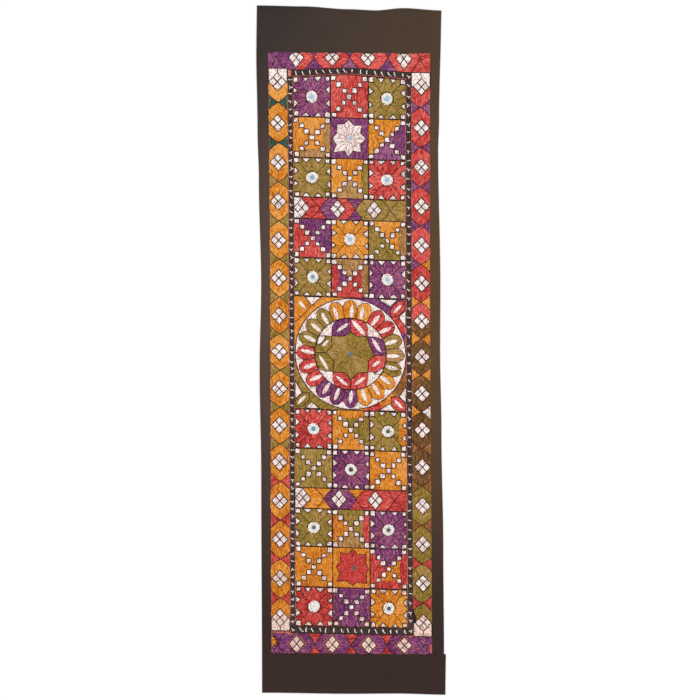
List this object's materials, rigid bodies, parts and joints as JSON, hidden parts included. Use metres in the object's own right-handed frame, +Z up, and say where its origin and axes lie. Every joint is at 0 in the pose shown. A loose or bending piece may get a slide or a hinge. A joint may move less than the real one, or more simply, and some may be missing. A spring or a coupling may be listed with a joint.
{
  "type": "embroidered table runner",
  "caption": "Long flat runner: a thickly stitched panel of squares, stars, diamonds and a round medallion with small round mirrors, in a plain black cotton surround.",
  "frame": {"origin": "under the middle of the cloth's bounding box, on the surface that it lies on", "axes": "+Y along the runner towards the end that is up in the picture, +X to the right of it, +Z up out of the embroidered face"},
  "size_m": [0.42, 1.528, 0.003],
  "materials": {
    "embroidery": "dense stitching in orange, red, purple, olive and white cotton thread with dark outlines",
    "black_cotton": "plain woven cotton, faded black, turned hems",
    "black_tape": "narrow black cotton tape with spaced white stitches across it",
    "mirror_glass": "small round glass mirrors, slightly cloudy"
  },
  "bodies": {
    "root": {"embroidered_panel": "embroidery", "strip_top": "black_cotton", "strip_bottom": "black_cotton", "strip_left": "black_cotton", "strip_right": "black_cotton", "tape_top": "black_tape", "tape_bottom": "black_tape", "tape_left": "black_tape", "tape_right": "black_tape", "mirror_01": "mirror_glass", "mirror_02": "mirror_glass", "mirror_03": "mirror_glass", "mirror_04": "mirror_glass", "mirror_05": "mirror_glass", "mirror_06": "mirror_glass", "mirror_07": "mirror_glass", "mirror_08": "mirror_glass", "mirror_09": "mirror_glass", "mirror_10": "mirror_glass", "mirror_11": "mirror_glass", "mirror_12": "mirror_glass", "mirror_13": "mirror_glass", "mirror_14": "mirror_glass", "mirror_15": "mirror_glass", "mirror_16": "mirror_glass", "mirror_17": "mirror_glass"}
  },
  "joints": []
}
